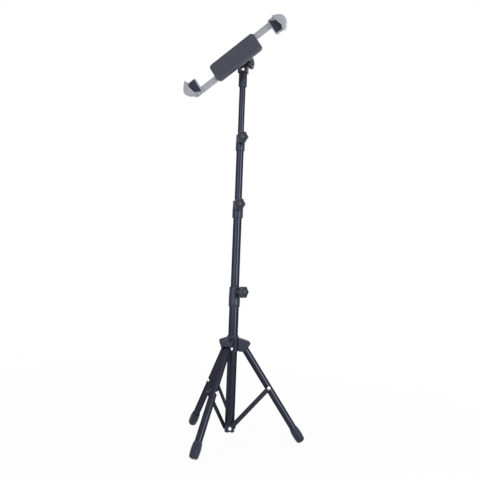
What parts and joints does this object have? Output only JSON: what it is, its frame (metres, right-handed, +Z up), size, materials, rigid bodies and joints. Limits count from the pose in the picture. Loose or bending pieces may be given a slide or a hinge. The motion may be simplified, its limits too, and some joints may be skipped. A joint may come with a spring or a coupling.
{
  "type": "tablet floor stand",
  "caption": "Folding tripod floor stand: telescoping mast with star-knob clamp collars, sliding leg hub with struts, and a tilting, turning corner-clip holder for a tablet.",
  "frame": {"origin": "on the mast axis at floor level", "axes": "+Z up along the mast, the holder faces -Y"},
  "size_m": [0.3435, 0.3151, 1.0821],
  "materials": {
    "tube_paint": "smooth black paint with a soft gloss",
    "strut_paint": "satin black paint",
    "black_plastic": "moulded black plastic, fine grain",
    "knob_plastic": "moulded black plastic, semi-gloss",
    "housing_plastic": "moulded black plastic, fine grain",
    "foot_rubber": "dull black rubber",
    "pad_rubber": "soft grey-black rubber",
    "bright_rivet": "bright nickel",
    "zinc_steel": "zinc plated",
    "silver_plastic": "silver-grey plastic with a satin sheen"
  },
  "bodies": {
    "base": {"base_tube": "tube_paint", "boss": "black_plastic", "lower_collar": "black_plastic", "lower_nut": "zinc_steel"},
    "hub": {"hub": "black_plastic", "hub_rivets": "bright_rivet"},
    "leg_1": {"leg_1": "tube_paint", "foot_1": "foot_rubber", "spacer_1": "black_plastic", "leg_rivet_1": "bright_rivet"},
    "leg_2": {"leg_2": "tube_paint", "foot_2": "foot_rubber", "spacer_2": "black_plastic", "leg_rivet_2": "bright_rivet"},
    "leg_3": {"leg_3": "tube_paint", "foot_3": "foot_rubber", "spacer_3": "black_plastic", "leg_rivet_3": "bright_rivet"},
    "strut_1": {"strut_1": "strut_paint", "boss_rivet_1": "bright_rivet"},
    "strut_2": {"strut_2": "strut_paint", "boss_rivet_2": "bright_rivet"},
    "strut_3": {"strut_3": "strut_paint", "boss_rivet_3": "bright_rivet"},
    "tube_2": {"mast_tube_2": "tube_paint", "tube_plug_2": "black_plastic", "middle_collar": "black_plastic", "middle_nut": "zinc_steel"},
    "tube_3": {"mast_tube_3": "tube_paint", "tube_plug_3": "black_plastic", "upper_collar": "black_plastic", "upper_nut": "zinc_steel"},
    "tube_4": {"mast_tube_4": "tube_paint", "tube_plug_4": "black_plastic", "top_socket": "black_plastic", "socket_screw": "zinc_steel"},
    "lower_knob": {"lower_knob": "knob_plastic", "lower_screw": "zinc_steel"},
    "middle_knob": {"middle_knob": "knob_plastic", "middle_screw": "zinc_steel"},
    "upper_knob": {"upper_knob": "knob_plastic", "upper_screw": "zinc_steel"},
    "swivel": {"swivel_fork": "black_plastic", "tilt_bolt": "zinc_steel"},
    "tilt": {"tilt_knuckle": "black_plastic", "pivot_screw": "zinc_steel"},
    "tilt_knob": {"tilt_knob": "knob_plastic"},
    "holder": {"holder_back": "housing_plastic", "holder_front": "housing_plastic", "holder_screws": "zinc_steel", "lower_spring": "zinc_steel", "upper_spring": "zinc_steel"},
    "lower_arm": {"lower_arm": "silver_plastic", "lower_clip": "silver_plastic", "lower_pad": "pad_rubber", "lower_clip_screws": "zinc_steel"},
    "upper_arm": {"upper_arm": "silver_plastic", "upper_clip": "silver_plastic", "upper_pad": "pad_rubber", "upper_clip_screws": "zinc_steel"}
  },
  "joints": [
    {"name": "hub_slide", "type": "slide", "parent": "base", "child": "hub", "axis": [0, 0, 1], "range_m": [0, 0.0548]},
    {"name": "leg_fold_1", "type": "hinge", "parent": "hub", "child": "leg_1", "pos_m": [0.02723, 0.01258, 0.24483], "axis": [-0.4195, 0.9078, 0], "range_deg": [0, 33.6]},
    {"name": "leg_fold_2", "type": "hinge", "parent": "hub", "child": "leg_2", "pos_m": [-0.02451, 0.01729, 0.24483], "axis": [-0.5764, -0.8171, 0], "range_deg": [0, 33.6]},
    {"name": "leg_fold_3", "type": "hinge", "parent": "hub", "child": "leg_3", "pos_m": [-0.00272, -0.02988, 0.24483], "axis": [0.9959, -0.0906, 0], "range_deg": [0, 33.6]},
    {"name": "strut_fold_1", "type": "hinge", "parent": "leg_1", "child": "strut_1", "pos_m": [0.08836, 0.04083, 0.1431], "axis": [-0.4195, 0.9078, 0], "range_deg": [-63.95, 0]},
    {"name": "strut_fold_2", "type": "hinge", "parent": "leg_2", "child": "strut_2", "pos_m": [-0.07954, 0.05611, 0.1431], "axis": [-0.5764, -0.8171, 0], "range_deg": [-63.95, 0]},
    {"name": "strut_fold_3", "type": "hinge", "parent": "leg_3", "child": "strut_3", "pos_m": [-0.00882, -0.09694, 0.1431], "axis": [0.9959, -0.0906, 0], "range_deg": [-63.95, 0]},
    {"name": "tube_2_slide", "type": "slide", "parent": "base", "child": "tube_2", "axis": [0, 0, 1], "range_m": [-0.176, 0.1]},
    {"name": "tube_3_slide", "type": "slide", "parent": "tube_2", "child": "tube_3", "axis": [0, 0, 1], "range_m": [-0.127, 0.15]},
    {"name": "tube_4_slide", "type": "slide", "parent": "tube_3", "child": "tube_4", "axis": [0, 0, 1], "range_m": [-0.125, 0.17]},
    {"name": "lower_knob_turn", "type": "hinge", "parent": "base", "child": "lower_knob", "pos_m": [0.02689, -0.01329, 0.39], "axis": [0.8965, -0.4431, 0], "range_deg": [0, 90]},
    {"name": "middle_knob_turn", "type": "hinge", "parent": "tube_2", "child": "middle_knob", "pos_m": [0.01348, -0.0268, 0.6165], "axis": [0.4493, -0.8934, 0], "range_deg": [0, 90]},
    {"name": "upper_knob_turn", "type": "hinge", "parent": "tube_3", "child": "upper_knob", "pos_m": [0.01441, -0.02631, 0.789], "axis": [0.4802, -0.8771, 0], "range_deg": [0, 90]},
    {"name": "head_swivel", "type": "hinge", "parent": "tube_4", "child": "swivel", "pos_m": [0, 0, 0.95], "axis": [0, 0, 1], "continuous": true},
    {"name": "head_tilt", "type": "hinge", "parent": "swivel", "child": "tilt", "pos_m": [0, 0, 0.986], "axis": [-1, 0, 0], "range_deg": [-3, 90]},
    {"name": "tilt_knob_turn", "type": "hinge", "parent": "swivel", "child": "tilt_knob", "pos_m": [0.018, 0, 0.986], "axis": [1, 0, 0], "range_deg": [0, 90]},
    {"name": "holder_turn", "type": "hinge", "parent": "tilt", "child": "holder", "pos_m": [0, -0.045, 0.986], "axis": [0, -1, 0], "continuous": true},
    {"name": "lower_arm_slide", "type": "slide", "parent": "holder", "child": "lower_arm", "axis": [-0.8211, 0, -0.5708], "range_m": [-0.036, 0.024], "deforming": ["lower_spring"]},
    {"name": "upper_arm_slide", "type": "slide", "parent": "holder", "child": "upper_arm", "axis": [0.8211, 0, 0.5708], "range_m": [-0.036, 0.024], "deforming": ["upper_spring"]}
  ],
  "couplings": [
    {"joint": "leg_fold_1", "follows": "hub_slide", "rad_per_m": 10.67},
    {"joint": "leg_fold_2", "follows": "hub_slide", "rad_per_m": 10.67},
    {"joint": "leg_fold_3", "follows": "hub_slide", "rad_per_m": 10.67},
    {"joint": "strut_fold_1", "follows": "hub_slide", "rad_per_m": -20.335},
    {"joint": "strut_fold_2", "follows": "hub_slide", "rad_per_m": -20.335},
    {"joint": "strut_fold_3", "follows": "hub_slide", "rad_per_m": -20.335}
  ]
}
